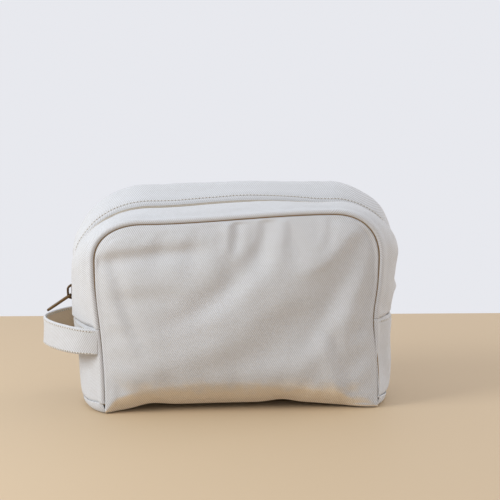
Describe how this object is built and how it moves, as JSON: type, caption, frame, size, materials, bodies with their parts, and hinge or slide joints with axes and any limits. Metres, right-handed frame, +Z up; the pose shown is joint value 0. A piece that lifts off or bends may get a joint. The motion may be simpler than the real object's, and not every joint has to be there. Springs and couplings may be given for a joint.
{
  "type": "wash bag",
  "caption": "Zipped canvas wash bag with a boxed body, a two-way curved zip gusset, a brass slider and a loop handle on one side.",
  "frame": {"origin": "centre of the base's flat underside, on the surface the bag stands on", "axes": "+X to the bag's right seen from the front, +Y from the front panel to the back panel, +Z up; the handle and the zip slider are on the -X side"},
  "size_m": [0.3043, 0.1144, 0.1856],
  "materials": {
    "canvas": "matte cotton twill",
    "lining": "matte plain weave",
    "zip_nylon": "satin",
    "antique_brass": "aged satin"
  },
  "bodies": {
    "body": {"front_panel_lower": "canvas", "back_panel": "canvas", "base_panel": "canvas", "left_side_panel": "canvas", "right_side_panel": "canvas", "back_zip_strip": "canvas", "front_lining_lower": "lining", "back_lining": "lining", "base_lining": "lining", "left_side_lining": "lining", "right_side_lining": "lining", "back_strip_lining": "lining", "front_seam_binding_lower": "lining", "back_seam_binding": "lining", "side_seam_bindings": "lining", "back_zip_tape": "zip_nylon", "back_zip_coil": "zip_nylon", "zip_bottom_stop": "antique_brass", "handle_ends": "canvas"},
    "front_flap": {"front_panel_upper": "canvas", "front_zip_strip": "canvas", "front_lining_upper": "lining", "front_strip_lining": "lining", "front_seam_binding_upper": "lining", "front_zip_tape": "zip_nylon", "front_zip_coil": "zip_nylon"},
    "slider": {"slider_body": "antique_brass", "slider_bail": "antique_brass"},
    "pull": {"pull_tab": "antique_brass"},
    "handle": {"handle_strap": "canvas"}
  },
  "joints": [
    {"name": "mouth_open", "type": "hinge", "parent": "body", "child": "front_flap", "pos_m": [0, -0.058, 0.075], "axis": [1, 0, 0], "range_deg": [0, 30], "deforming": ["front_zip_coil"]},
    {"name": "zip_slide", "type": "slide", "parent": "body", "child": "slider", "axis": [0, 0, 1], "range_m": [0, 0.028], "deforming": ["back_zip_coil"]},
    {"name": "pull_turn", "type": "hinge", "parent": "slider", "child": "pull", "pos_m": [-0.14185, 0, 0.0941], "axis": [0, 1, 0], "range_deg": [0, 118]},
    {"name": "handle_droop", "type": "hinge", "parent": "body", "child": "handle", "pos_m": [-0.1233, 0, 0.054], "axis": [0, 1, 0], "range_deg": [-24, 0]}
  ]
}
